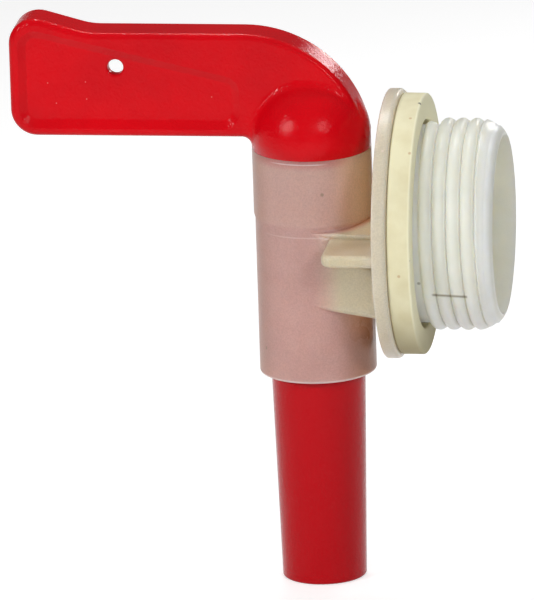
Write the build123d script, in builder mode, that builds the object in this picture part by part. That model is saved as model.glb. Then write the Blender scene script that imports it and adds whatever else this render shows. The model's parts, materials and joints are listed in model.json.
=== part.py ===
from build123d import *
import os
from math import cos, radians, sin, tan

# A plug tap for a canister: a hollow red plug with a lever turns in a pale barrel, and the barrel
# screws into the canister by the threaded spigot behind its flange.
# Lengths are millimetres. The inlet axis is X and points into the canister. The origin is on that
# axis, in the face of the gasket that meets the canister. Z is up, along the barrel.

# Threaded spigot
thread_radius = 30.0
thread_pitch = 4.0
thread_depth = 2.0
thread_root_gap = 0.2
thread_start = 2.2
spigot_length = 21.9
spigot_bore_radius = 25.2
mouth_radius = 25.9
lead_in_length = 6.4
thread_fade = 1.5
thread_sink = 0.2

# Flange and gasket
flange_radius = 38.2
flange_thickness = 4.15
flange_edge_round = 1.4
flange_back_round = 0.5
flange_floor = 3.1
gasket_width = 7.6
gasket_thickness = 6.7
gasket_edge_round = 0.7
gasket_slack = 1.4

# Barrel
barrel_offset = 32.3
barrel_rise = 22.5
barrel_drop = 42.9
barrel_top_radius = 16.9
barrel_step = 0.35
barrel_rim_round = 0.6
parting_height = 3.0
parting_length = 1.2

# Neck between barrel and flange, with its low passage
neck_top = 2.75
neck_top_draft = 3.0
neck_crown = 1.7
neck_barrel_crown = 0.2
neck_low = 23.8
neck_low_draft = 8.2
neck_inset = 0.07
neck_side_draft = 3.0
neck_top_round = 0.5
neck_low_round = 1.5
passage_radius = 10.0
passage_drop = 11.0

# Thumb wings that screw the tap in
wing_span = 35.0
wing_thickness = 3.5
wing_from_axis = 6.4
wing_corner_radius = 3.5
wing_edge_round = 1.2

# Plug and spout
plug_top_radius = 14.9
spout_tip_radius = 11.9
spout_drop = 103.6
spout_wall = 2.2
spout_tip_round = 0.7
bore_draft = 0.3
bore_top = 16.0
bore_top_round = 3.0
window_radius = 7.5
running_clearance = 0.05
shoulder_clearance = 0.05
bead_drop = 36.0
bead_height = 0.5
bead_length = 3.0
bead_flat = 1.0
groove_clearance = 0.1

# Head and lever
lever_lift = 3.9
lever_reach = 84.8
lever_height = 30.2
lever_thickness = 13.0
lever_edge_round = 1.8
lever_corner_radius = 7.5
spine_radius = 35.5
head_seam_round = 3.1
seam_share = 0.3
hump_length = 22.4
hump_angle = 15.7
hump_blend_radius = 20.0
recess_rim_end = 2.6
recess_rim_low = 2.4
recess_rim_hump = 3.8
recess_rim_head = 2.3
recess_angle = 13.4
recess_corner_radius = 5.0
front_recess_depth = 1.4
front_recess_slope = 58.0
back_recess_depth = 7.8
back_recess_slope = 5.0
recess_floor_round = 1.2
recess_rim_round = 0.4
hole_radius = 2.2
hole_from_end = 30.2
hole_height = 20.0
hole_edge_round = 0.8

# Places worked out from the sizes above
thread_root_radius = thread_radius - thread_depth
gasket_bore_radius = thread_root_radius + gasket_slack
gasket_radius = gasket_bore_radius + gasket_width
flange_front = -gasket_thickness
flange_back = flange_front - flange_thickness
cavity_floor = flange_back + flange_floor
lever_bottom = barrel_rise + lever_lift
lever_top = lever_bottom + lever_height
lever_face = lever_thickness / 2
head_radius = barrel_top_radius
barrel_low_radius = barrel_top_radius - barrel_step
neck_length = barrel_offset + flange_back
neck_barrel_half = barrel_low_radius - neck_inset
neck_flange_half = neck_barrel_half + neck_length * tan(radians(neck_side_draft))
neck_barrel_top = neck_top - neck_length * tan(radians(neck_top_draft))
neck_barrel_low = neck_low - neck_length * tan(radians(neck_low_draft))
seam_round = min(head_seam_round, seam_share * (head_radius - lever_face))

# Planes: one through both axes with the barrel axis as its upright, one across the inlet
barrel_plane = Plane(origin=(-barrel_offset, 0, 0), x_dir=(1, 0, 0), z_dir=(0, -1, 0))
barrel_axis = Axis((-barrel_offset, 0, 0), (0, 0, 1))
neck_plane = Plane(origin=(flange_back, 0, 0), x_dir=(0, -1, 0), z_dir=(-1, 0, 0))


def shoulder_point(length, top, low, fall):
    """Place on the spigot's round end, which leaves the radius top level and falls to low at the mouth."""
    bend_radius = (length**2 + (top - low) ** 2) / (2 * (top - low))
    reach = (2 * bend_radius * fall - fall**2) ** 0.5
    return (spigot_length - length + reach, top - fall)


def plug_radius(height):
    """Radius of the plug's one long taper at a height above the inlet axis."""
    share = (height + spout_drop) / (barrel_rise + spout_drop)
    return spout_tip_radius + (plug_top_radius - spout_tip_radius) * share


def taper_outline(grow, low, high, bead_grow):
    """Half outline of the taper with its retaining bead, grown by a clearance."""
    bead_half = bead_length / 2 + bead_grow
    flat_half = bead_flat / 2 + bead_grow
    bead_low = -bead_drop - bead_half
    bead_high = -bead_drop + bead_half
    bead_radius = plug_radius(-bead_drop) + bead_height + bead_grow
    return [
        (0, low),
        (plug_radius(low) + grow, low),
        (plug_radius(bead_low) + grow, bead_low),
        (bead_radius, -bead_drop - flat_half),
        (bead_radius, -bead_drop + flat_half),
        (plug_radius(bead_high) + grow, bead_high),
        (plug_radius(high) + grow, high),
        (0, high),
    ]


def recess_outline():
    """Corners of the lever's recess: under the hump it follows a line that falls towards the head."""
    left = -lever_reach + recess_rim_end
    right = -head_radius - recess_rim_head
    low = lever_bottom + recess_rim_low
    high = lever_top + hump_length * tan(radians(hump_angle)) - recess_rim_hump
    fall = tan(radians(recess_angle))
    return [
        (left, low),
        (right, low),
        (right, high - fall * (right + lever_reach)),
        (left, high - fall * (left + lever_reach)),
    ]


# Thread ridge: a rounded tooth swept along the helix
with BuildPart() as thread_ridge:
    tooth_half = (thread_pitch - thread_root_gap) / 2
    fade_length = lead_in_length + thread_fade
    fade_top = thread_radius + thread_sink / 2
    fade_low = mouth_radius - thread_sink
    fade_root = shoulder_point(fade_length, fade_top, fade_low, fade_top - thread_root_radius)
    with BuildLine() as thread_path:
        Helix(
            pitch=thread_pitch,
            height=fade_root[0] + tooth_half - thread_start,
            radius=thread_root_radius,
            center=(thread_start, 0, 0),
            direction=(1, 0, 0),
        )
    tooth_origin = thread_path.line @ 0
    tooth_out = Vector(0, tooth_origin.Y, tooth_origin.Z)
    tooth_plane = Plane(origin=tooth_origin, x_dir=tooth_out, z_dir=thread_path.line % 0)
    with BuildSketch(tooth_plane) as tooth:
        with BuildLine():
            Polyline(
                (-thread_sink, tooth_half),
                (-thread_depth / 2, tooth_half),
                (-thread_depth / 2, -tooth_half),
                (-thread_sink, -tooth_half),
            )
            ThreePointArc((-thread_sink, -tooth_half), (thread_depth, 0), (-thread_sink, tooth_half))
        make_face()
    sweep(path=thread_path.line, is_frenet=True)
    with BuildSketch(Plane.XZ) as lead_in_section:
        fade_middle = shoulder_point(fade_length, fade_top, fade_low, (fade_top - fade_low) / 2)
        fade_start = spigot_length - fade_length
        with BuildLine():
            ThreePointArc((fade_start, fade_top), fade_middle, (spigot_length, fade_low))
            Polyline(
                (spigot_length, fade_low),
                (spigot_length + thread_pitch, fade_low),
                (spigot_length + thread_pitch, thread_radius + thread_depth),
                (fade_start, thread_radius + thread_depth),
                (fade_start, fade_top),
            )
        make_face()
    revolve(axis=Axis.X, mode=Mode.SUBTRACT)


# Thumb wings: one flat bar through the neck, with its free corners rounded
with BuildPart() as wing_bar:
    wing_depth = barrel_offset - wing_from_axis + flange_back + flange_floor / 2
    wing_left = -barrel_offset + wing_from_axis
    with BuildSketch(Plane.XY.offset(-wing_thickness)) as wing_outline:
        with Locations((wing_left, 0)):
            Rectangle(wing_depth, 2 * wing_span, align=(Align.MIN, Align.CENTER))
        fillet(wing_outline.vertices().sort_by(Axis.X)[:2], wing_corner_radius)
    extrude(amount=wing_thickness)
    fillet(wing_bar.edges().filter_by(Plane.XY), wing_edge_round)


# Valve body: barrel, neck, wings, flange and spigot in one moulding
with BuildPart() as valve_body:
    with BuildSketch(barrel_plane) as barrel_section:
        with BuildLine():
            Polyline(
                (0, -barrel_drop),
                (barrel_low_radius, -barrel_drop),
                (barrel_low_radius, parting_height - parting_length / 2),
                (barrel_top_radius, parting_height + parting_length / 2),
                (barrel_top_radius, barrel_rise),
                (0, barrel_rise),
                close=True,
            )
        make_face()
        rim_corners = barrel_section.vertices().group_by(Axis.Y)
        fillet(rim_corners[0].sort_by(Axis.X)[-1:], barrel_rim_round)
        fillet(rim_corners[-1].sort_by(Axis.X)[-1:], barrel_rim_round)
    revolve(axis=barrel_axis)

    for plane, half, top, crown, low in (
        (neck_plane, neck_flange_half, neck_top, neck_crown, neck_low),
        (neck_plane.offset(neck_length), neck_barrel_half, neck_barrel_top, neck_barrel_crown, neck_barrel_low),
    ):
        with BuildSketch(plane) as neck_section:
            with BuildLine():
                Polyline((-half, top - crown), (-half, -low), (half, -low), (half, top - crown))
                ThreePointArc((half, top - crown), (0, top), (-half, top - crown))
            make_face()
            neck_corners = neck_section.vertices().group_by(Axis.Y)
            fillet(neck_corners[0], neck_low_round)
            fillet(neck_corners[-1], neck_top_round)
    loft()
    add(wing_bar.part)

    with BuildSketch(Plane.XZ) as flange_section:
        with BuildLine():
            shoulder_root = shoulder_point(lead_in_length, thread_radius, mouth_radius, thread_depth)
            Polyline(
                (flange_back, 0),
                (flange_back, flange_radius),
                (flange_front, flange_radius),
                (flange_front, thread_root_radius),
                shoulder_root,
            )
            middle_fall = (thread_radius - mouth_radius + thread_depth) / 2
            shoulder_middle = shoulder_point(lead_in_length, thread_radius, mouth_radius, middle_fall)
            ThreePointArc(shoulder_root, shoulder_middle, (spigot_length, mouth_radius))
            Polyline((spigot_length, mouth_radius), (spigot_length, 0), (flange_back, 0))
        make_face()
        rim_corners = flange_section.vertices().group_by(Axis.Y)[-1].sort_by(Axis.X)
        fillet(rim_corners[-1:], flange_edge_round)
        fillet(flange_section.vertices().group_by(Axis.Y)[-1].sort_by(Axis.X)[:1], flange_back_round)
    revolve(axis=Axis.X)
    add(thread_ridge.part)

    with BuildSketch(Plane.YZ.offset(cavity_floor)) as cavity:
        Circle(spigot_bore_radius)
    extrude(amount=spigot_length - cavity_floor, mode=Mode.SUBTRACT)

    with BuildSketch(Plane.YZ.offset(-barrel_offset)) as passage:
        with Locations((0, -passage_drop)):
            Circle(passage_radius)
    extrude(amount=barrel_offset + cavity_floor, mode=Mode.SUBTRACT)

    with BuildSketch(barrel_plane) as bore_section:
        with BuildLine():
            Polyline(*taper_outline(running_clearance, -barrel_drop, barrel_rise, groove_clearance), close=True)
        make_face()
    revolve(axis=barrel_axis, mode=Mode.SUBTRACT)


# Gasket: a flat ring over the spigot, against the flange
with BuildPart() as gasket:
    with BuildSketch(Plane.XZ) as gasket_section:
        with Locations((-gasket_thickness / 2, (gasket_radius + gasket_bore_radius) / 2)):
            RectangleRounded(gasket_thickness, gasket_width, gasket_edge_round)
    revolve(axis=Axis.X)


# Lever plate: flat outline with a hump at its free end, and a recess in each face
with BuildPart() as lever_plate:
    with BuildSketch(barrel_plane) as lever_outline:
        spine_x = head_radius - spine_radius
        spine_z = lever_top - spine_radius
        spine_turn = (lever_bottom - spine_z) / spine_radius
        spine_foot = (spine_x + spine_radius * (1 - spine_turn**2) ** 0.5, lever_bottom)
        spine_middle = (spine_x + spine_radius * sin(radians(45)), spine_z + spine_radius * cos(radians(45)))
        hump_corner = lever_top + hump_length * tan(radians(hump_angle))
        with BuildLine():
            ThreePointArc(spine_foot, spine_middle, (spine_x, lever_top))
            Polyline(
                (spine_x, lever_top),
                (hump_length - lever_reach, lever_top),
                (-lever_reach, hump_corner),
                (-lever_reach, lever_bottom),
                spine_foot,
            )
        make_face()
        free_end = lever_outline.vertices().group_by(Axis.X)[0]
        fillet(free_end, lever_corner_radius)
        hump_foot = lever_outline.vertices().sort_by_distance((hump_length - lever_reach, lever_top))[:1]
        fillet(hump_foot, hump_blend_radius)
    extrude(amount=lever_face, both=True)
    fillet(lever_plate.faces().filter_by(Axis.Y).edges(), lever_edge_round)

    for side, depth, slope in (
        (-1, front_recess_depth, front_recess_slope),
        (1, back_recess_depth, back_recess_slope),
    ):
        recess_plane = Plane(
            origin=(-barrel_offset, side * lever_face, 0), x_dir=(1, 0, 0), z_dir=(0, -1, 0)
        )
        with BuildSketch(recess_plane) as recess:
            with BuildLine():
                Polyline(*recess_outline(), close=True)
            make_face()
            fillet(recess.vertices(), recess_corner_radius)
        extrude(amount=side * depth, taper=slope, mode=Mode.SUBTRACT)
        floor_face = lever_plate.faces().filter_by(Plane.XZ).group_by(Axis.Y)[::-side][1]
        fillet(floor_face.edges(), recess_floor_round)
        rim_face = lever_plate.faces().filter_by(Plane.XZ).sort_by(Axis.Y)[::-side][0]
        fillet(rim_face.inner_wires()[0].edges(), recess_rim_round)

    with BuildSketch(barrel_plane) as lever_hole:
        with Locations((hole_from_end - lever_reach, lever_bottom + hole_height)):
            Circle(hole_radius)
    extrude(amount=lever_face, both=True, mode=Mode.SUBTRACT)
    fillet(lever_plate.edges(Select.LAST).filter_by(Plane.XZ), hole_edge_round)


# Plug: lever, round head, tapered plug and spout in one moulding
with BuildPart() as plug:
    add(lever_plate.part)
    with BuildSketch(barrel_plane) as head_section:
        with BuildLine():
            dome_top = lever_bottom + head_radius
            dome_side = (head_radius * cos(radians(45)), lever_bottom + head_radius * sin(radians(45)))
            shoulder = barrel_rise + shoulder_clearance
            Polyline((head_radius, lever_bottom), (head_radius, shoulder), (0, shoulder), (0, dome_top))
            ThreePointArc((0, dome_top), dome_side, (head_radius, lever_bottom))
        make_face()
    revolve(axis=barrel_axis)
    fillet(plug.edges(Select.NEW).filter_by(GeomType.CIRCLE), seam_round)

    with BuildSketch(barrel_plane) as taper_section:
        with BuildLine():
            Polyline(*taper_outline(0, -spout_drop, shoulder, 0), close=True)
        make_face()
        fillet(taper_section.vertices().group_by(Axis.Y)[0].sort_by(Axis.X)[-1:], spout_tip_round)
    revolve(axis=barrel_axis)

    with BuildSketch(barrel_plane) as bore_section:
        bore_low = spout_tip_radius - spout_wall
        bore_high = bore_low - (bore_top + spout_drop) * tan(radians(bore_draft))
        with BuildLine():
            Polyline((0, -spout_drop), (bore_low, -spout_drop), (bore_high, bore_top), (0, bore_top), close=True)
        make_face()
        fillet(bore_section.vertices().group_by(Axis.Y)[-1].sort_by(Axis.X)[-1:], bore_top_round)
    revolve(axis=barrel_axis, mode=Mode.SUBTRACT)

    with BuildSketch(Plane.YZ.offset(-barrel_offset)) as window:
        with Locations((0, -passage_drop)):
            Circle(window_radius)
    extrude(amount=head_radius, mode=Mode.SUBTRACT)


os.makedirs("parts", exist_ok=True)
for node, name in ((valve_body, "valve_body"), (gasket, "gasket"), (plug, "plug")):
    node.part.label = name
    export_step(node.part, f"parts/{name}.step")
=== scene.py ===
import json
import math

import bmesh
import bpy
from bpy.props import FloatProperty, FloatVectorProperty, PointerProperty
from mathutils import Matrix, Vector


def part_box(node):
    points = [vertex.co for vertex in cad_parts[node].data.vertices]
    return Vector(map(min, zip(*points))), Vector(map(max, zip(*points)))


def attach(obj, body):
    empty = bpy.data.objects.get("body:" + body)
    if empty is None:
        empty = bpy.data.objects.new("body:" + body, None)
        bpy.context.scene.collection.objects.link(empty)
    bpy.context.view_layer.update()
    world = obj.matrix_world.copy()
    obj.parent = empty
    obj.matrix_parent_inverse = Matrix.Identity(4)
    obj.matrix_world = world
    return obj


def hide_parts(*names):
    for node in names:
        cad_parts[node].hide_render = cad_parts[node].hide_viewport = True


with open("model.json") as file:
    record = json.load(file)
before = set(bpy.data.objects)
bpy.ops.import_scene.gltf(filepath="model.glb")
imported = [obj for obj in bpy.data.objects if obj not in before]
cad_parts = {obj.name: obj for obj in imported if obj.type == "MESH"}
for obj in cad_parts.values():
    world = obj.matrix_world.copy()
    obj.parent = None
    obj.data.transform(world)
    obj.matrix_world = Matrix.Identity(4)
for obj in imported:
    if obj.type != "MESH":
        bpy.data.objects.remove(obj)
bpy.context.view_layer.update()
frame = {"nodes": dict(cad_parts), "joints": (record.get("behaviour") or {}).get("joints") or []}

bl_info = {
    "name": "Canister plug tap",
    "version": (1, 0, 0),
    "blender": (4, 5, 0),
    "location": "3D View > Sidebar > Tap",
    "description": "Dresses the canister tap with moulded plastic, a foam ring and a plain stage",
    "category": "Object",
}

MM = 0.001
BARREL_X = frame["joints"][0]["pos_m"][0]
GASKET_LOW, GASKET_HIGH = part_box("gasket")
GASKET_BORE = min(math.hypot(point.co.y, point.co.z) for point in frame["nodes"]["gasket"].data.vertices)
PLUG_LOW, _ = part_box("plug")

# Places on the tap in millimetres: along the inlet, up, across, or away from an axis.
FAR = 1000.0
SPOUT_TOP = -30.0
BARREL_EDGE = 18.0
BARREL_FAR_SIDE = -45.0
BARREL_NEAR_SIDE = -20.5
UNDER_HEAD = 20.6
UNDER_NECK = -27.0
NECK_START = -20.0
NECK_TOP = 1.5
WING_START = 21.0
FLANGE_START = -13.0
SPIGOT_START = -3.0
SPIGOT_WALL = 27.0
THREAD_ROOT = 29.0
THREAD_LOW_SIDE = -16.0
RING_FACE = -0.6
RING_LOW_SIDE = -26.0

# Lines on the body in millimetres: each line's lowest and highest place, and its span along the inlet.
SEAM_LINE = (-0.15, 0.15)
SEAM_SPAN = (-42.0, -24.0)
# A painted highlight line just under the plug's head.
HEAD_HIGHLIGHT = (21.35, 21.65)
HEAD_HIGHLIGHT_SPAN = (-41.0, -27.0)
BARREL_LOW_EDGE = -42.25
BARREL_FRONT = 0.0
SCRATCH_SLOPE = (0.04694, 0.28721, 0.95842)
SCRATCH_LINE = (-20.45, -19.9)
SCRATCH_SPAN = (4.6, 14.4)
SCRATCH_FRONT = -20.0

# Single marks: centres in millimetres.
LEVER_SPECKS = [
    (-104.0, -5.1, 35.8), (-95.3, -5.1, 37.1), (-106.3, -5.1, 41.7),
    (-95.5, -5.1, 42.1), (-59.6, -5.1, 38.0),
]
BODY_FLECKS = [(-8.4, -25.6, 28.4), (-36.3, -16.6, -6.4), (-27.8, -16.4, -6.0)]
BODY_MARKS = [(-27.4, -16.0, 12.7), (-45.7, -10.0, -34.2), (0.8, -26.3, -10.2)]
RING_DOTS = [(-0.9, -24.7, 27.6), (-3.3, -36.6, -5.1), (-2.0, -13.2, 34.6)]
RING_PINHOLES = [(-0.4, -4.8, 36.5)]

# How strongly each mark covers the colour below it.
SPECK_STRENGTH = 0.3
EDGE_HIGHLIGHT_STRENGTH = 0.7
SEAM_STRENGTH = 0.35
MARK_STRENGTH = 0.55
SCRATCH_STRENGTH = 0.75
FAR_SHADE_STRENGTH = 0.5
DOT_STRENGTH = 0.5
CELL_STRENGTH = 0.3
PINHOLE_STRENGTH = 0.8
SEAM_RELIEF = 0.4

# Mesh finish.
MERGE_DISTANCE = 0.002 * MM
SHARP_ANGLE = math.radians(34.0)
FLAT_FACE_WEIGHT = 90
RING_STEPS = 288
RING_ROUND_STEPS = 5
RING_CUTS = 3
RING_DENTS_PER_METRE = 260.0

# The photograph's view: its axes, the point at its centre, its scale and its height in pixels.
VIEW_RIGHT = Vector((0.98955, 0.14077, -0.03106))
VIEW_UP = Vector((-0.00957, 0.27917, 0.96019))
VIEW_BACK = Vector((0.14384, -0.94987, 0.2776))
VIEW_CENTRE = Vector((-45.268, -8.004, -20.668)) * MM
PIXELS_PER_METRE = 3537.3
PHOTO_HEIGHT = 600.0
SENSOR_HEIGHT = 24.0
CAMERA_REACH = 60.0

# The stage, in metres.
LAMP_AIM = Vector((BARREL_X, 0.0, 30.0 * MM))
FLOOR_GAP = 0.1 * MM
FLOOR_REACH = 6.0
FLOOR_GLOW = 0.55
WHITE = (1.0, 1.0, 1.0, 1.0)

FLOAT = "NodeSocketFloat"
VECTOR = "NodeSocketVector"


def colour(name, description, default):
    return FloatVectorProperty(
        name=name, description=description, default=default, subtype="COLOR", size=3, min=0.0, max=1.0
    )


def length(name, description, default):
    return FloatProperty(
        name=name, description=description, default=default, unit="LENGTH", min=0.0, precision=5
    )


def power(name, description, default):
    return FloatProperty(name=name, description=description, default=default, unit="POWER")


def plain(name, description, default):
    return FloatProperty(name=name, description=description, default=default)


class TapPlugLook(bpy.types.PropertyGroup):
    """Red moulding of lever, head and spout."""

    red: colour("Red", "Main colour of the plug", (0.68, 0.0012, 0.0062))
    deep_red: colour("Deep red", "Colour of the plug's darker clouds", (0.57, 0.0015, 0.0062))
    # Painted shade: a darker red on the spout, low on the tap where less light falls.
    spout_painted_shade: colour("Spout red", "Colour of the spout", (0.52, 0.0012, 0.0058))
    speck: colour("Speck", "Colour of the tiny dust specks", (0.82, 0.55, 0.52))
    grain_scale: plain("Grain scale", "Grains of the moulded skin in a metre", 1500.0)
    grain_depth: length("Grain depth", "Height of the moulded grain", 0.16 * MM)


class TapBodyLook(bpy.types.PropertyGroup):
    """Milky moulding of barrel, neck, flange and spigot."""

    barrel: colour("Barrel", "Pink of the barrel, where the red plug shows through", (0.605, 0.335, 0.303))
    barrel_rim: colour("Barrel rim", "Stronger pink just under the plug's head", (0.6, 0.19, 0.18))
    # Painted light: a bright warm pink on the side towards the flange, standing in for light shining
    # through the flange.
    barrel_painted_light: colour("Barrel, warm side", "Warm pink of the side towards the flange", (1.0, 0.49, 0.275))
    # Painted shade: brownish pink under the neck and on the barrel's far side.
    barrel_painted_shade: colour("Barrel, low side", "Brownish pink under the neck", (0.355, 0.15, 0.082))
    # The pale mould seam is real; the pale lines at the barrel's lower edge and under the plug's head are
    # painted highlights.
    pale_seam_and_highlight: colour("Pale lines", "Pale lines of the barrel's edges and mould seam", (0.9, 0.72, 0.68))
    neck: colour("Neck", "Cream of the neck", (0.64, 0.565, 0.41))
    # Painted light: a paler cream on the neck's upper side, where the plug's head shades it.
    neck_painted_light: colour("Neck, high side", "Paler cream of the neck's upper side", (0.98, 0.87, 0.64))
    # Painted shade: a deeper cream on the thumb wings' outer parts.
    wing_painted_shade: colour("Wing", "Deeper cream of the thumb wings' outer edges", (0.57, 0.505, 0.365))
    flange: colour("Flange", "Cream of the flange", (0.67, 0.595, 0.465))
    spigot: colour("Spigot", "Milky white of the threaded spigot", (0.82, 0.815, 0.705))
    # Painted light: brighter white in the thread's grooves and on the spigot's low side, which the lamps
    # reach less.
    spigot_painted_light: colour("Groove", "Brighter white in the thread's grooves and low side", (0.95, 0.94, 0.85))
    mark: colour("Mark", "Colour of small dark marks", (0.2, 0.17, 0.1))
    grain_scale: plain("Grain scale", "Grains of the moulded skin in a metre", 2000.0)
    grain_depth: length("Grain depth", "Height of the moulded grain", 0.06 * MM)


class TapGasketLook(bpy.types.PropertyGroup):
    """Cream foam ring between flange and canister."""

    cream: colour("Cream", "Main colour of the ring", (0.83, 0.78, 0.53))
    shade: colour("Shade", "Colour of the ring's darker clouds", (0.72, 0.65, 0.4))
    face: colour("Face", "Paler cream of the ring's face towards the canister", (0.96, 0.92, 0.66))
    # Painted shade: a darker cream on the ring's underside, where less light falls.
    painted_low_side: colour("Low side", "Dirtier cream of the ring's underside", (0.43, 0.38, 0.21))
    dot: colour("Dot", "Orange-brown of the small dots", (0.5, 0.27, 0.08))
    pinhole: colour("Pinhole", "Colour of the open foam cells", (0.1, 0.08, 0.05))
    outer_radius: length("Outer radius", "Outside of the ring", GASKET_HIGH.z)
    bore_radius: length("Bore radius", "Hole of the ring", GASKET_BORE)
    thickness: length("Thickness", "Thickness along the inlet", GASKET_HIGH.x - GASKET_LOW.x)
    edge_round: length("Edge round", "Radius of the ring's edges", 0.7 * MM)
    dent_depth: length("Dent depth", "Deepest dent of the foam skin", 0.12 * MM)
    grain_depth: length("Grain depth", "Height of the foam's fine grain", 0.06 * MM)


class TapStageLook(bpy.types.PropertyGroup):
    """Floor, lamps and camera."""

    floor: colour("Floor", "Colour of the floor", (0.7, 0.7, 0.7))
    camera_distance: length("Camera distance", "How far the camera stands from the tap", 6.0)
    key_power: power("Key lamp", "Power of the lamp on the left", 1.5)
    near_power: power("Near lamp", "Power of the lamp near the camera", 0.85)
    top_power: power("Top lamp", "Power of the lamp above", 1.3)
    front_power: power("Front lamp", "Power of the wide lamp in front", 2.15)
    rim_power: power("Rim lamp", "Power of the lamp behind on the right", 0.5)
    back_power: power("Back lamp", "Power of the lamp behind", 0.35)
    world_level: plain("Room light", "Strength of the room's light from above", 0.36)
    horizon_level: plain("Wall light", "Strength of the light from the walls", 0.06)


def add_node(tree, kind, inputs=None, **settings):
    """Adds a node, sets its options, and fills or links its inputs by name or place."""
    node = tree.nodes.new(kind)
    for option, value in settings.items():
        setattr(node, option, value)
    for key, value in (inputs or {}).items():
        if isinstance(value, bpy.types.NodeSocket):
            tree.links.new(value, node.inputs[key])
        else:
            node.inputs[key].default_value = value
    return node


def maths(tree, operation, first, second=0.0):
    return add_node(tree, "ShaderNodeMath", {0: first, 1: second}, operation=operation).outputs[0]


def product(tree, first, *others):
    for other in others:
        first = maths(tree, "MULTIPLY", first, other)
    return first


def vector_maths(tree, operation, first, second):
    return add_node(tree, "ShaderNodeVectorMath", {0: first, 1: second}, operation=operation)


def scaled(tree, vector, scale):
    node = add_node(tree, "ShaderNodeVectorMath", {0: vector, "Scale": scale}, operation="SCALE")
    return node.outputs[0]


def map_range(tree, value, low, high, to_low=0.0, to_high=1.0, ease="LINEAR"):
    """Carries one range of a value onto another, held at both ends."""
    node = add_node(
        tree, "ShaderNodeMapRange",
        {"Value": value, "From Min": low, "From Max": high, "To Min": to_low, "To Max": to_high},
        interpolation_type=ease,
    )
    return node.outputs["Result"]


def mix_colour(tree, share, first, second):
    """Mixes two colours, each a socket or a colour of three parts."""
    node = add_node(tree, "ShaderNodeMix", data_type="RGBA")
    factor, low, high = node.inputs[0], node.inputs[6], node.inputs[7]
    for socket, value in ((factor, share), (low, first), (high, second)):
        if isinstance(value, bpy.types.NodeSocket):
            tree.links.new(value, socket)
        elif socket == factor:
            socket.default_value = value
        else:
            socket.default_value = (*value, 1.0)
    return node.outputs[2]


def new_group(name, inputs, outputs):
    """Starts a shader node group with named sockets, and returns it with its two ends."""
    group = bpy.data.node_groups.new(name, "ShaderNodeTree")
    for label, kind, default in inputs:
        socket = group.interface.new_socket(label, in_out="INPUT", socket_type=kind)
        if default is not None:
            socket.default_value = default
    for label, kind in outputs:
        group.interface.new_socket(label, in_out="OUTPUT", socket_type=kind)
    return group, group.nodes.new("NodeGroupInput").outputs, group.nodes.new("NodeGroupOutput").inputs


def grain_group():
    """Moulded skin: a fine height and a slow cloud."""
    if "moulded_grain" in bpy.data.node_groups:
        return bpy.data.node_groups["moulded_grain"]
    group, start, end = new_group(
        "moulded_grain",
        [("Vector", VECTOR, None), ("Scale", FLOAT, 1000.0), ("Cloud Scale", FLOAT, 60.0)],
        [("Height", FLOAT), ("Cloud", FLOAT)],
    )
    fine = add_node(
        group, "ShaderNodeTexNoise",
        {"Vector": start["Vector"], "Scale": start["Scale"], "Detail": 1.5, "Roughness": 0.6},
    )
    cloud = add_node(
        group, "ShaderNodeTexNoise",
        {"Vector": start["Vector"], "Scale": start["Cloud Scale"], "Detail": 4.0},
    )
    group.links.new(fine.outputs["Fac"], end["Height"])
    group.links.new(cloud.outputs["Fac"], end["Cloud"])
    return group


def spot_group():
    """One round spot with a soft edge at a given place."""
    if "round_spot" in bpy.data.node_groups:
        return bpy.data.node_groups["round_spot"]
    group, start, end = new_group(
        "round_spot",
        [("Vector", VECTOR, None), ("Centre", VECTOR, (0.0, 0.0, 0.0)), ("Radius", FLOAT, 0.001)],
        [("Mask", FLOAT)],
    )
    gap = vector_maths(group, "DISTANCE", start["Vector"], start["Centre"]).outputs["Value"]
    share = maths(group, "DIVIDE", gap, start["Radius"])
    group.links.new(map_range(group, share, 0.45, 1.0, 1.0, 0.0, ease="SMOOTHSTEP"), end["Mask"])
    return group


def band_group():
    """A soft band between two values."""
    if "soft_band" in bpy.data.node_groups:
        return bpy.data.node_groups["soft_band"]
    group, start, end = new_group(
        "soft_band",
        [("Value", FLOAT, 0.0), ("Low", FLOAT, 0.0), ("High", FLOAT, 1.0), ("Soft", FLOAT, 0.001)],
        [("Mask", FLOAT)],
    )
    value, low, high, soft = (start[name] for name in ("Value", "Low", "High", "Soft"))
    rise = map_range(
        group, value, maths(group, "SUBTRACT", low, soft), maths(group, "ADD", low, soft), ease="SMOOTHSTEP"
    )
    fall = map_range(
        group, value, maths(group, "SUBTRACT", high, soft), maths(group, "ADD", high, soft), 1.0, 0.0,
        ease="SMOOTHSTEP",
    )
    group.links.new(maths(group, "MULTIPLY", rise, fall), end["Mask"])
    return group


def specks_group():
    """Scattered small specks in a share of equal cells."""
    if "scattered_specks" in bpy.data.node_groups:
        return bpy.data.node_groups["scattered_specks"]
    group, start, end = new_group(
        "scattered_specks",
        [("Vector", VECTOR, None), ("Scale", FLOAT, 100.0), ("Size", FLOAT, 0.05), ("Share", FLOAT, 0.3)],
        [("Mask", FLOAT)],
    )
    cells = add_node(group, "ShaderNodeTexVoronoi", {"Vector": start["Vector"], "Scale": start["Scale"]})
    near = maths(group, "LESS_THAN", cells.outputs["Distance"], start["Size"])
    parts = add_node(group, "ShaderNodeSeparateColor", {0: cells.outputs["Color"]})
    chosen = maths(group, "LESS_THAN", parts.outputs[0], start["Share"])
    group.links.new(maths(group, "MULTIPLY", near, chosen), end["Mask"])
    return group


def place_group(tree, group, **inputs):
    """Places a node group in a material, with its inputs by name and _ for a space."""
    node = tree.nodes.new("ShaderNodeGroup")
    node.node_tree = group
    for name, value in inputs.items():
        label = name.replace("_", " ")
        if isinstance(value, bpy.types.NodeSocket):
            tree.links.new(value, node.inputs[label])
        else:
            node.inputs[label].default_value = value
    return node


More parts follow.
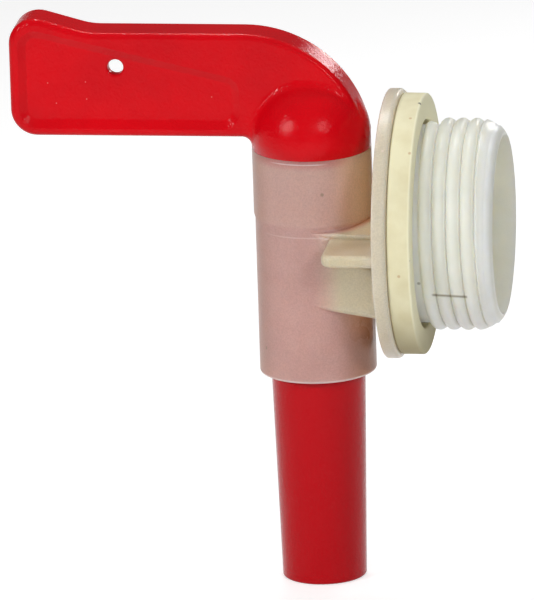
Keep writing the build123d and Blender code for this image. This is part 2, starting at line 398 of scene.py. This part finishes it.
def spots(tree, place, centres, radius):
    """The largest of several spots of one radius, all in millimetres."""
    total = None
    for centre in centres:
        centre = tuple(part * MM for part in centre)
        spot = place_group(tree, spot_group(), Vector=place, Centre=centre, Radius=radius * MM)
        mask = spot.outputs["Mask"]
        total = mask if total is None else maths(tree, "MAXIMUM", total, mask)
    return total


def band(tree, value, low, high, soft):
    """A mask between two places, soft by so many millimetres."""
    node = place_group(tree, band_group(), Value=value, Low=low * MM, High=high * MM, Soft=soft * MM)
    return node.outputs["Mask"]


def above(tree, value, low, soft):
    return band(tree, value, low, FAR, soft)


def below(tree, value, high, soft):
    return band(tree, value, -FAR, high, soft)


def new_material(name):
    """An empty node material with object coordinates and a Principled shader."""
    material = bpy.data.materials.new(name)
    material.use_nodes = True
    tree = material.node_tree
    tree.nodes.clear()
    output = tree.nodes.new("ShaderNodeOutputMaterial")
    shader = tree.nodes.new("ShaderNodeBsdfPrincipled")
    tree.links.new(shader.outputs["BSDF"], output.inputs["Surface"])
    place = add_node(tree, "ShaderNodeTexCoord").outputs["Object"]
    return material, tree, shader, place


def axes_of(tree, place):
    """The places along the inlet, across it and up."""
    return tuple(add_node(tree, "ShaderNodeSeparateXYZ", {0: place}).outputs)


def roughen(tree, shader, grain, low, high):
    rough = map_range(tree, grain.outputs["Cloud"], 0.0, 1.0, low, high)
    tree.links.new(rough, shader.inputs["Roughness"])


def bump(tree, shader, height, depth, strength):
    node = add_node(tree, "ShaderNodeBump", {"Height": height, "Distance": depth, "Strength": strength})
    tree.links.new(node.outputs["Normal"], shader.inputs["Normal"])


def set_shader(shader, **values):
    """Sets values that are the same all over the surface on the shader's own sockets."""
    for name, value in values.items():
        shader.inputs[name.replace("_", " ")].default_value = value


def red_plastic(look):
    """Red polyethylene: clouded red, painted shade on the spout, a sparkling fine grain and a few pale
    specks.
    """
    material, tree, shader, place = new_material("red_plastic")
    grain = place_group(tree, grain_group(), Vector=place, Scale=look.grain_scale, Cloud_Scale=45.0)
    cloud = map_range(tree, grain.outputs["Cloud"], low=0.35, high=0.7)
    red = mix_colour(tree, cloud, look.red, look.deep_red)
    _, _, height = axes_of(tree, place)
    # Painted shade: the red darkens below the top of the spout.
    red = mix_colour(tree, below(tree, height, SPOUT_TOP, soft=12.0), red, look.spout_painted_shade)
    scattered = place_group(tree, specks_group(), Vector=place, Scale=70.0, Size=0.014, Share=0.25)
    # Lighter specks, scattered over the plug and at listed places on the lever.
    placed = spots(tree, place, LEVER_SPECKS, radius=0.22)
    bright = product(tree, maths(tree, "MAXIMUM", placed, scattered.outputs["Mask"]), SPECK_STRENGTH)
    tree.links.new(mix_colour(tree, bright, red, look.speck), shader.inputs["Base Color"])
    roughen(tree, shader, grain, low=0.12, high=0.18)
    bump(tree, shader, grain.outputs["Height"], look.grain_depth, strength=0.9)
    set_shader(shader, IOR=1.5, Specular_IOR_Level=0.13)
    return material


def pink_tones(tree, look, axes):
    """Pink of the barrel, stronger under the head, with painted light towards the flange, and painted shade
    under the neck and on the far side.
    """
    along, _, height = axes
    under_head = above(tree, height, UNDER_HEAD, soft=1.4)
    under_neck = below(tree, height, UNDER_NECK, soft=7.0)
    # Painted light high on the side towards the flange, painted shade low on it and on the far side.
    near_side = above(tree, along, BARREL_NEAR_SIDE, soft=5.5)
    far_shade = product(tree, below(tree, along, BARREL_FAR_SIDE, soft=3.5), FAR_SHADE_STRENGTH)
    pink = mix_colour(tree, under_head, look.barrel, look.barrel_rim)
    painted_light_and_shade = mix_colour(tree, under_neck, look.barrel_painted_light, look.barrel_painted_shade)
    pink = mix_colour(tree, near_side, pink, painted_light_and_shade)
    return mix_colour(tree, far_shade, pink, look.barrel_painted_shade)


def cream_tones(tree, look, axes, in_spigot):
    """Cream of neck, wings and flange, and the milky white of the threaded spigot, with painted light on
    the neck's upper side, painted shade on the wings' outer parts, and painted light in the thread's
    grooves and on the spigot's low side.
    """
    along, across, height = axes
    between_wings = band(tree, across, -WING_START, WING_START, soft=2.0)
    neck_top_light = product(
        tree, above(tree, height, NECK_TOP, soft=1.5), above(tree, along, NECK_START, soft=2.0)
    )
    in_flange = above(tree, along, FLANGE_START, soft=2.0)
    # Painted light on the neck's upper side.
    neck = mix_colour(tree, neck_top_light, look.neck, look.neck_painted_light)
    # Painted shade on the wings' outer parts.
    cream = mix_colour(tree, maths(tree, "SUBTRACT", 1.0, between_wings), neck, look.wing_painted_shade)
    cream = mix_colour(tree, in_flange, cream, look.flange)

    squares = maths(tree, "ADD", product(tree, across, across), product(tree, height, height))
    radius = maths(tree, "POWER", squares, 0.5)
    # Painted light in the thread's grooves and on the spigot's low side.
    painted_low_side = below(tree, height, THREAD_LOW_SIDE, soft=8.0)
    in_groove = below(tree, radius, THREAD_ROOT, soft=0.5)
    outside = above(tree, radius, SPIGOT_WALL, soft=0.5)
    painted_light = product(tree, maths(tree, "MAXIMUM", painted_low_side, in_groove), outside)
    white = mix_colour(tree, painted_light, look.spigot, look.spigot_painted_light)
    return mix_colour(tree, in_spigot, cream, white)


def mould_seam(tree, axes, in_barrel):
    """The fine line that the mould's halves leave on the barrel's front."""
    along, across, height = axes
    return product(
        tree,
        band(tree, height, *SEAM_LINE, soft=0.15),
        in_barrel,
        band(tree, along, *SEAM_SPAN, soft=4.0),
        below(tree, across, BARREL_FRONT, soft=2.0),
    )


def painted_edge_highlights(tree, axes, in_barrel):
    """Painted highlights: pale lines at the barrel's lower edge and just under the plug's head."""
    along, across, height = axes
    low_edge_highlight = product(tree, below(tree, height, BARREL_LOW_EDGE, soft=0.2), in_barrel)
    head_highlight = product(
        tree,
        band(tree, height, *HEAD_HIGHLIGHT, soft=0.12),
        band(tree, along, *HEAD_HIGHLIGHT_SPAN, soft=2.0),
        below(tree, across, BARREL_FRONT, soft=2.0),
    )
    return product(tree, maths(tree, "MAXIMUM", head_highlight, low_edge_highlight), EDGE_HIGHLIGHT_STRENGTH)


def dark_marks(tree, place, axes):
    """Small dark marks, and one straight scratch over the thread."""
    along, across, _ = axes
    marks = product(tree, spots(tree, place, BODY_MARKS, radius=0.7), MARK_STRENGTH)
    slant = vector_maths(tree, "DOT_PRODUCT", place, SCRATCH_SLOPE).outputs["Value"]
    scratch = product(
        tree,
        band(tree, slant, *SCRATCH_LINE, soft=0.25),
        band(tree, along, *SCRATCH_SPAN, soft=0.4),
        below(tree, across, SCRATCH_FRONT, soft=1.0),
        SCRATCH_STRENGTH,
    )
    return maths(tree, "MAXIMUM", marks, scratch)


def milky_plastic(look):
    """Milky polyethylene: pink over the red plug, cream at the neck, whiter at the spigot."""
    material, tree, shader, place = new_material("milky_plastic")
    axes = axes_of(tree, place)
    grain = place_group(tree, grain_group(), Vector=place, Scale=look.grain_scale, Cloud_Scale=70.0)
    flat = vector_maths(tree, "MULTIPLY", place, (1.0, 1.0, 0.0)).outputs["Vector"]
    reach = vector_maths(tree, "DISTANCE", flat, (BARREL_X, 0.0, 0.0)).outputs["Value"]
    in_barrel = below(tree, reach, BARREL_EDGE, soft=2.0)
    in_spigot = above(tree, axes[0], SPIGOT_START, soft=3.0)

    cream = cream_tones(tree, look, axes, in_spigot)
    tones = mix_colour(tree, in_barrel, cream, pink_tones(tree, look, axes))
    cloud = map_range(tree, grain.outputs["Cloud"], low=0.3, high=0.7, to_low=0.94, to_high=1.04)
    sparkle = map_range(tree, grain.outputs["Height"], low=0.3, high=0.7, to_low=0.93, to_high=1.07)
    calmed = product(tree, maths(tree, "SUBTRACT", sparkle, 1.0), in_spigot)
    sparkle = maths(tree, "SUBTRACT", sparkle, calmed)
    clouded = scaled(tree, tones, product(tree, cloud, sparkle))

    seam = mould_seam(tree, axes, in_barrel)
    flecks = spots(tree, place, BODY_FLECKS, radius=0.5)
    faint = product(tree, maths(tree, "MAXIMUM", seam, flecks), SEAM_STRENGTH)
    # Painted highlights at the barrel's edges, joined with the real mould seam and pale flecks.
    seam_and_highlights = maths(tree, "MAXIMUM", painted_edge_highlights(tree, axes, in_barrel), faint)
    lined = mix_colour(tree, seam_and_highlights, clouded, look.pale_seam_and_highlight)
    marked = mix_colour(tree, dark_marks(tree, place, axes), lined, look.mark)
    tree.links.new(marked, shader.inputs["Base Color"])

    roughen(tree, shader, grain, low=0.24, high=0.36)
    relief = maths(tree, "ADD", grain.outputs["Height"], product(tree, seam, SEAM_RELIEF))
    bump(tree, shader, relief, look.grain_depth, strength=0.8)
    set_shader(shader, IOR=1.5, Specular_IOR_Level=0.3)
    set_shader(
        shader, Subsurface_Weight=0.85, Subsurface_Radius=(1.0, 0.85, 0.65), Subsurface_Scale=10.0 * MM
    )
    return material


def foam_cream(look):
    """Cream foam: clouded skin with open cells here and there, and painted shade on its underside."""
    material, tree, shader, place = new_material("foam_cream")
    along, _, height = axes_of(tree, place)
    grain = place_group(tree, grain_group(), Vector=place, Scale=900.0, Cloud_Scale=110.0)
    cloud = map_range(tree, grain.outputs["Cloud"], low=0.4, high=0.75)
    cream = mix_colour(tree, cloud, look.cream, look.shade)
    cream = mix_colour(tree, above(tree, along, RING_FACE, soft=0.3), cream, look.face)
    # Painted shade: the ring darkens towards its underside.
    cream = mix_colour(tree, below(tree, height, RING_LOW_SIDE, soft=11.0), cream, look.painted_low_side)
    dots = product(tree, spots(tree, place, RING_DOTS, radius=0.6), DOT_STRENGTH)
    cream = mix_colour(tree, dots, cream, look.dot)
    cells = place_group(tree, specks_group(), Vector=place, Scale=130.0, Size=0.045, Share=0.12)
    faint = product(tree, cells.outputs["Mask"], CELL_STRENGTH)
    holes = product(tree, spots(tree, place, RING_PINHOLES, radius=0.75), PINHOLE_STRENGTH)
    holes = maths(tree, "MAXIMUM", faint, holes)
    tree.links.new(mix_colour(tree, holes, cream, look.pinhole), shader.inputs["Base Color"])
    roughen(tree, shader, grain, low=0.6, high=0.8)
    bump(tree, shader, grain.outputs["Height"], look.grain_depth, strength=0.5)
    set_shader(
        shader, Subsurface_Weight=0.15, Subsurface_Radius=(1.0, 0.9, 0.6), Subsurface_Scale=2.0 * MM
    )
    return material


def smooth_copy(node, name, material):
    """A merged, smooth-shaded copy of a solid, with flat faces kept flat by weighted normals."""
    mesh = frame["nodes"][node].data.copy()
    mesh.name = name
    soup = bmesh.new()
    soup.from_mesh(mesh)
    bmesh.ops.remove_doubles(soup, verts=soup.verts, dist=MERGE_DISTANCE)
    soup.to_mesh(mesh)
    soup.free()
    mesh.polygons.foreach_set("use_smooth", [True] * len(mesh.polygons))
    mesh.set_sharp_from_angle(angle=SHARP_ANGLE)
    mesh.materials.clear()
    mesh.materials.append(material)
    piece = bpy.data.objects.new(name, mesh)
    bpy.context.scene.collection.objects.link(piece)
    weighting = piece.modifiers.new("even_normals", "WEIGHTED_NORMAL")
    weighting.keep_sharp = True
    weighting.weight = FLAT_FACE_WEIGHT
    bake_modifiers(piece)
    return piece


def bake_modifiers(piece):
    """Turns a piece with its modifiers into a plain mesh."""
    bpy.context.view_layer.update()
    evaluated = piece.evaluated_get(bpy.context.evaluated_depsgraph_get())
    mesh = bpy.data.meshes.new_from_object(evaluated)
    old = piece.data
    piece.modifiers.clear()
    piece.data = mesh
    bpy.data.meshes.remove(old)
    mesh.name = piece.name


def finish_piece(piece, node, body):
    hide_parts(node)
    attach(piece, body)


def ring_tree():
    """Geometry Nodes for the foam ring: a rounded section carried round the inlet, dented inwards."""
    tree = bpy.data.node_groups.new("foam_ring", "GeometryNodeTree")
    face = tree.interface
    for label in ("Mean Radius", "Section Height", "Thickness", "Edge Round", "Dent Depth"):
        face.new_socket(label, in_out="INPUT", socket_type=FLOAT)
    face.new_socket("Material", in_out="INPUT", socket_type="NodeSocketMaterial")
    face.new_socket("Geometry", in_out="OUTPUT", socket_type="NodeSocketGeometry")
    start = tree.nodes.new("NodeGroupInput").outputs
    path = add_node(
        tree, "GeometryNodeCurvePrimitiveCircle", {"Resolution": RING_STEPS, "Radius": start["Mean Radius"]}
    )
    section = add_node(
        tree, "GeometryNodeCurvePrimitiveQuadrilateral",
        {"Width": start["Section Height"], "Height": start["Thickness"]},
    )
    rounded = add_node(
        tree, "GeometryNodeFilletCurve",
        {"Curve": section.outputs[0], "Radius": start["Edge Round"], "Count": RING_ROUND_STEPS},
        mode="POLY",
    )
    finer = add_node(tree, "GeometryNodeSubdivideCurve", {"Curve": rounded.outputs[0], "Cuts": RING_CUTS})
    swept = add_node(
        tree, "GeometryNodeCurveToMesh", {"Curve": path.outputs[0], "Profile Curve": finer.outputs[0]}
    )
    turned = add_node(
        tree, "GeometryNodeTransform", {"Geometry": swept.outputs[0], "Rotation": (0.0, math.pi / 2, 0.0)}
    )
    noise = add_node(tree, "ShaderNodeTexNoise", {"Scale": RING_DENTS_PER_METRE, "Detail": 3.0})
    dent = maths(tree, "MULTIPLY", noise.outputs["Fac"], start["Dent Depth"])
    normal = add_node(tree, "GeometryNodeInputNormal")
    inward = scaled(tree, normal.outputs[0], maths(tree, "MULTIPLY", dent, -1.0))
    dented = add_node(tree, "GeometryNodeSetPosition", {"Geometry": turned.outputs[0], "Offset": inward})
    smooth = add_node(tree, "GeometryNodeSetShadeSmooth", {"Geometry": dented.outputs[0]})
    real = add_node(tree, "GeometryNodeRealizeInstances", {"Geometry": smooth.outputs[0]})
    painted = add_node(
        tree, "GeometryNodeSetMaterial", {"Geometry": real.outputs[0], "Material": start["Material"]}
    )
    end = tree.nodes.new("NodeGroupOutput")
    tree.links.new(painted.outputs[0], end.inputs["Geometry"])
    return tree


class TAP_OT_plug(bpy.types.Operator):
    """Dress the red plug with its lever and spout"""

    bl_idname = "tap.plug"
    bl_label = "Red plug"

    def execute(self, context):
        piece = smooth_copy("plug", "red_plug", red_plastic(context.scene.tap_plug))
        finish_piece(piece, "plug", "plug")
        return {"FINISHED"}


class TAP_OT_body(bpy.types.Operator):
    """Dress the milky body with its barrel, wings, flange and thread"""

    bl_idname = "tap.body"
    bl_label = "Milky body"

    def execute(self, context):
        piece = smooth_copy("valve_body", "milky_body", milky_plastic(context.scene.tap_body))
        finish_piece(piece, "valve_body", "body")
        return {"FINISHED"}


class TAP_OT_gasket(bpy.types.Operator):
    """Make the foam ring with Geometry Nodes"""

    bl_idname = "tap.gasket"
    bl_label = "Foam ring"

    def execute(self, context):
        look = context.scene.tap_gasket
        tree = ring_tree()
        piece = bpy.data.objects.new("foam_ring", bpy.data.meshes.new("foam_ring"))
        context.scene.collection.objects.link(piece)
        modifier = piece.modifiers.new("ring", "NODES")
        modifier.node_group = tree
        values = {
            "Mean Radius": (look.outer_radius + look.bore_radius) / 2,
            "Section Height": look.outer_radius - look.bore_radius,
            "Thickness": look.thickness,
            "Edge Round": look.edge_round,
            "Dent Depth": look.dent_depth,
            "Material": foam_cream(look),
        }
        for item in tree.interface.items_tree:
            if item.in_out == "INPUT":
                modifier[item.identifier] = values[item.name]
        bake_modifiers(piece)
        piece.data.transform(Matrix.Translation((GASKET_LOW.x + look.thickness / 2, 0.0, 0.0)))
        if not piece.data.polygons:
            raise RuntimeError("the foam ring came out empty")
        outside = bmesh.new()
        outside.from_mesh(piece.data)
        bmesh.ops.recalc_face_normals(outside, faces=outside.faces)
        outside.to_mesh(piece.data)
        outside.free()
        finish_piece(piece, "gasket", "body")
        return {"FINISHED"}


def floor_material(tone):
    """Pale matt surface that reads as white to the camera and keeps a soft shadow."""
    material = bpy.data.materials.new("floor")
    material.use_nodes = True
    tree = material.node_tree
    tree.nodes.clear()
    rays = tree.nodes.new("ShaderNodeLightPath").outputs
    mirrored = maths(tree, "MAXIMUM", rays["Is Glossy Ray"], rays["Is Transmission Ray"])
    seen = maths(tree, "MAXIMUM", rays["Is Camera Ray"], mirrored)
    matt = add_node(tree, "ShaderNodeBsdfDiffuse", {"Color": (*tone, 1.0)})
    strength = maths(tree, "MULTIPLY", seen, FLOOR_GLOW)
    shine = add_node(tree, "ShaderNodeEmission", {"Color": WHITE, "Strength": strength})
    total = add_node(tree, "ShaderNodeAddShader", {0: matt.outputs[0], 1: shine.outputs[0]})
    output = tree.nodes.new("ShaderNodeOutputMaterial")
    tree.links.new(total.outputs[0], output.inputs["Surface"])
    return material


def place_camera(scene, look):
    lens = bpy.data.cameras.new("photo_camera")
    lens.sensor_fit = "VERTICAL"
    lens.sensor_height = SENSOR_HEIGHT
    lens.lens = PIXELS_PER_METRE * look.camera_distance * lens.sensor_height / PHOTO_HEIGHT
    lens.clip_end = CAMERA_REACH
    camera = bpy.data.objects.new("photo_camera", lens)
    turn = Matrix((VIEW_RIGHT, VIEW_UP, VIEW_BACK)).transposed().to_4x4()
    camera.matrix_world = Matrix.Translation(VIEW_CENTRE + VIEW_BACK * look.camera_distance) @ turn
    scene.collection.objects.link(camera)
    scene.camera = camera


def place_lamps(scene, look):
    """Round lamps, each with its direction from the tap, its distance, its width and its power."""
    for name, toward, distance, size, energy in (
        ("key_lamp", (-0.637, -0.692, 0.341), 0.65, 0.065, look.key_power),
        ("near_lamp", (0.479, -0.77, 0.42), 0.65, 0.08, look.near_power),
        ("rim_lamp", (0.38, 0.5, 0.78), 0.65, 0.06, look.rim_power),
        ("back_lamp", (0.25, 0.945, 0.21), 0.65, 0.1, look.back_power),
        ("top_lamp", (-0.1, 0.42, 0.9), 0.65, 0.16, look.top_power),
        ("front_lamp", (0.14, -0.94, 0.3), 0.9, 0.7, look.front_power),
    ):
        lamp = bpy.data.lights.new(name, "AREA")
        lamp.shape = "DISK"
        lamp.size = size
        lamp.energy = energy
        holder = bpy.data.objects.new(name, lamp)
        # The wide lamp would show as a dull disc on the plug's round head.
        holder.visible_glossy = name != "front_lamp"
        spot = LAMP_AIM + Vector(toward).normalized() * distance
        turn = (spot - LAMP_AIM).to_track_quat("Z", "Y").to_matrix().to_4x4()
        holder.matrix_world = Matrix.Translation(spot) @ turn
        scene.collection.objects.link(holder)


def place_floor(scene, look):
    level = PLUG_LOW.z - FLOOR_GAP
    corners = [
        (-FLOOR_REACH, -FLOOR_REACH, level), (FLOOR_REACH, -FLOOR_REACH, level),
        (FLOOR_REACH, FLOOR_REACH, level), (-FLOOR_REACH, FLOOR_REACH, level),
    ]
    ground = bpy.data.meshes.new("floor")
    ground.from_pydata(corners, [], [(0, 1, 2, 3)])
    ground.materials.append(floor_material(look.floor))
    floor = bpy.data.objects.new("floor", ground)
    scene.collection.objects.link(floor)


def light_room(scene, look):
    """A room that is dim at the walls and brighter overhead."""
    world = bpy.data.worlds.new("room")
    world.use_nodes = True
    tree = world.node_tree
    tree.nodes.clear()
    toward = add_node(tree, "ShaderNodeTexCoord").outputs["Generated"]
    rise = add_node(tree, "ShaderNodeSeparateXYZ", {0: toward}).outputs[2]
    level = map_range(tree, rise, 0.2, 0.9, look.horizon_level, look.world_level)
    room = add_node(tree, "ShaderNodeBackground", {"Color": WHITE, "Strength": level})
    output = tree.nodes.new("ShaderNodeOutputWorld")
    tree.links.new(room.outputs[0], output.inputs["Surface"])
    scene.world = world


class TAP_OT_stage(bpy.types.Operator):
    """Set up the floor, the lamps and the camera"""

    bl_idname = "tap.stage"
    bl_label = "Stage"

    def execute(self, context):
        scene = context.scene
        scene.view_settings.view_transform = "Standard"
        for step in (place_camera, place_lamps, place_floor, light_room):
            step(scene, scene.tap_stage)
        return {"FINISHED"}


class TAP_PT_sidebar(bpy.types.Panel):
    """Sidebar panel with the tap's looks and the steps that make them"""

    bl_idname = "TAP_PT_sidebar"
    bl_label = "Canister tap"
    bl_space_type = "VIEW_3D"
    bl_region_type = "UI"
    bl_category = "Tap"

    def draw(self, context):
        for look in LOOKS:
            box = self.layout.box()
            group = getattr(context.scene, look)
            for name in group.__annotations__:
                box.prop(group, name)
            box.operator(look.replace("_", "."))


LOOKS = {
    "tap_plug": TapPlugLook,
    "tap_body": TapBodyLook,
    "tap_gasket": TapGasketLook,
    "tap_stage": TapStageLook,
}
CLASSES = (*LOOKS.values(), TAP_OT_plug, TAP_OT_body, TAP_OT_gasket, TAP_OT_stage, TAP_PT_sidebar)


def register():
    for item in CLASSES:
        bpy.utils.register_class(item)
    for name, group in LOOKS.items():
        setattr(bpy.types.Scene, name, PointerProperty(type=group))


def unregister():
    for name in LOOKS:
        delattr(bpy.types.Scene, name)
    for item in reversed(CLASSES):
        bpy.utils.unregister_class(item)


def main():
    register()
    bpy.ops.tap.plug()
    bpy.ops.tap.body()
    bpy.ops.tap.gasket()
    bpy.ops.tap.stage()


if __name__ == "__main__":
    main()
